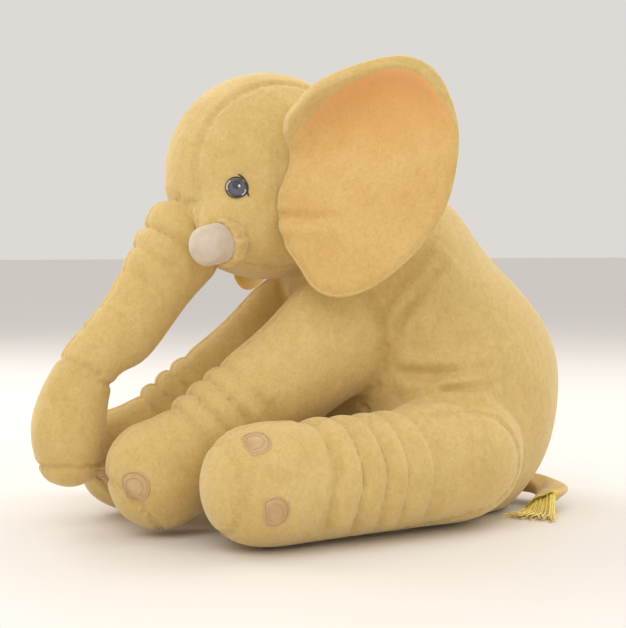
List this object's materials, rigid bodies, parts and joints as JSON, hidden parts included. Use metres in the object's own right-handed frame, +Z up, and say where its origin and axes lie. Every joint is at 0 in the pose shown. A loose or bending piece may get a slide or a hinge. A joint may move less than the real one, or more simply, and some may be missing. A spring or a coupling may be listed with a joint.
{
  "type": "stuffed elephant",
  "caption": "Large sitting plush elephant in pale yellow pile fabric, with a long tucked trunk, wide ears, embroidered eyes, short tusks, soft legs and a yarn-tufted tail.",
  "frame": {"origin": "middle of the object's width, on the plane of the flat seat that the torso rests on", "axes": "+Z up, -Y the way the elephant faces, +X towards its left side"},
  "size_m": [0.4146, 0.5343, 0.4285],
  "materials": {
    "plush_pile": "short soft brushed pile, pale yellow",
    "ear_lining": "short soft brushed pile, warmer yellow",
    "tusk_velour": "smooth velour, off-white",
    "toenail_velour": "smooth velour, pinkish beige, stitched ring",
    "eye_embroidery": "satin-stitch embroidery in slate, black and white thread",
    "tail_yarn": "loose spun yarn, bright yellow",
    "fibre_filling": "loose polyester fibre"
  },
  "bodies": {
    "torso": {"torso_panel_left": "plush_pile", "torso_panel_right": "plush_pile", "belly_panel": "plush_pile", "torso_filling": "fibre_filling"},
    "head": {"head_filling": "fibre_filling", "forehead_gusset": "plush_pile", "chin_panel": "plush_pile", "cheek_panel_left": "plush_pile", "cheek_panel_right": "plush_pile", "eye_left": "eye_embroidery", "eye_right": "eye_embroidery", "tusk_cover_left": "tusk_velour", "tusk_cover_right": "tusk_velour", "tusk_filling_left": "fibre_filling", "tusk_filling_right": "fibre_filling", "tusk_collar_left": "plush_pile", "tusk_collar_right": "plush_pile"},
    "trunk": {"trunk_panel_left": "plush_pile", "trunk_panel_right": "plush_pile", "trunk_filling": "fibre_filling"},
    "trunk_tip": {"trunk_tip_panel": "plush_pile", "trunk_tip_end": "plush_pile", "trunk_tip_filling": "fibre_filling"},
    "tail": {"tail_cover": "plush_pile", "tail_filling": "fibre_filling", "tail_tuft": "tail_yarn"},
    "ear_left": {"ear_inner_panel_left": "ear_lining", "ear_back_panel_left": "plush_pile", "ear_batting_left": "fibre_filling"},
    "foreleg_left": {"foreleg_outer_panel_left": "plush_pile", "foreleg_inner_panel_left": "plush_pile", "foreleg_sole_left": "plush_pile", "foreleg_toenails_left": "toenail_velour", "foreleg_filling_left": "fibre_filling"},
    "hindleg_left": {"hindleg_outer_panel_left": "plush_pile", "hindleg_inner_panel_left": "plush_pile", "hindleg_sole_left": "plush_pile", "hindleg_toenails_left": "toenail_velour", "hindleg_filling_left": "fibre_filling"},
    "ear_right": {"ear_inner_panel_right": "ear_lining", "ear_back_panel_right": "plush_pile", "ear_batting_right": "fibre_filling"},
    "foreleg_right": {"foreleg_outer_panel_right": "plush_pile", "foreleg_inner_panel_right": "plush_pile", "foreleg_sole_right": "plush_pile", "foreleg_toenails_right": "toenail_velour", "foreleg_filling_right": "fibre_filling"},
    "hindleg_right": {"hindleg_outer_panel_right": "plush_pile", "hindleg_inner_panel_right": "plush_pile", "hindleg_sole_right": "plush_pile", "hindleg_toenails_right": "toenail_velour", "hindleg_filling_right": "fibre_filling"}
  },
  "joints": [
    {"name": "head_nod", "type": "hinge", "parent": "torso", "child": "head", "pos_m": [0, -0.172, 0.328], "axis": [-1, 0, 0], "range_deg": [0, 12], "stiffness_Nm_per_rad": 3},
    {"name": "trunk_raise", "type": "hinge", "parent": "head", "child": "trunk", "pos_m": [0, -0.252, 0.27], "axis": [-1, 0, 0], "range_deg": [0, 30], "stiffness_Nm_per_rad": 0.8},
    {"name": "trunk_tip_curl", "type": "hinge", "parent": "trunk", "child": "trunk_tip", "pos_m": [0, -0.36, 0.128], "axis": [-1, 0, 0], "range_deg": [-4, 45], "stiffness_Nm_per_rad": 0.3},
    {"name": "tail_swing", "type": "hinge", "parent": "torso", "child": "tail", "pos_m": [0, 0.086, 0.02], "axis": [0, 0, 1], "range_deg": [0, 50], "stiffness_Nm_per_rad": 0.05},
    {"name": "ear_left_flap", "type": "hinge", "parent": "head", "child": "ear_left", "pos_m": [0.081, -0.188, 0.327], "axis": [0, 0, -1], "range_deg": [-8, 30], "stiffness_Nm_per_rad": 0.3},
    {"name": "foreleg_left_lift", "type": "hinge", "parent": "torso", "child": "foreleg_left", "pos_m": [0.057, -0.12, 0.18], "axis": [-1, 0, 0], "range_deg": [0, 4], "stiffness_Nm_per_rad": 2},
    {"name": "hindleg_left_splay", "type": "hinge", "parent": "torso", "child": "hindleg_left", "pos_m": [0.112, -0.02, 0.0635], "axis": [0, 0, 1], "range_deg": [0, 25], "stiffness_Nm_per_rad": 2},
    {"name": "ear_right_flap", "type": "hinge", "parent": "head", "child": "ear_right", "pos_m": [-0.081, -0.188, 0.327], "axis": [0, 0, 1], "range_deg": [-8, 30], "stiffness_Nm_per_rad": 0.3},
    {"name": "foreleg_right_lift", "type": "hinge", "parent": "torso", "child": "foreleg_right", "pos_m": [-0.057, -0.12, 0.18], "axis": [-1, 0, 0], "range_deg": [0, 4], "stiffness_Nm_per_rad": 2},
    {"name": "hindleg_right_splay", "type": "hinge", "parent": "torso", "child": "hindleg_right", "pos_m": [-0.112, -0.02, 0.0635], "axis": [0, 0, -1], "range_deg": [0, 25], "stiffness_Nm_per_rad": 2}
  ]
}
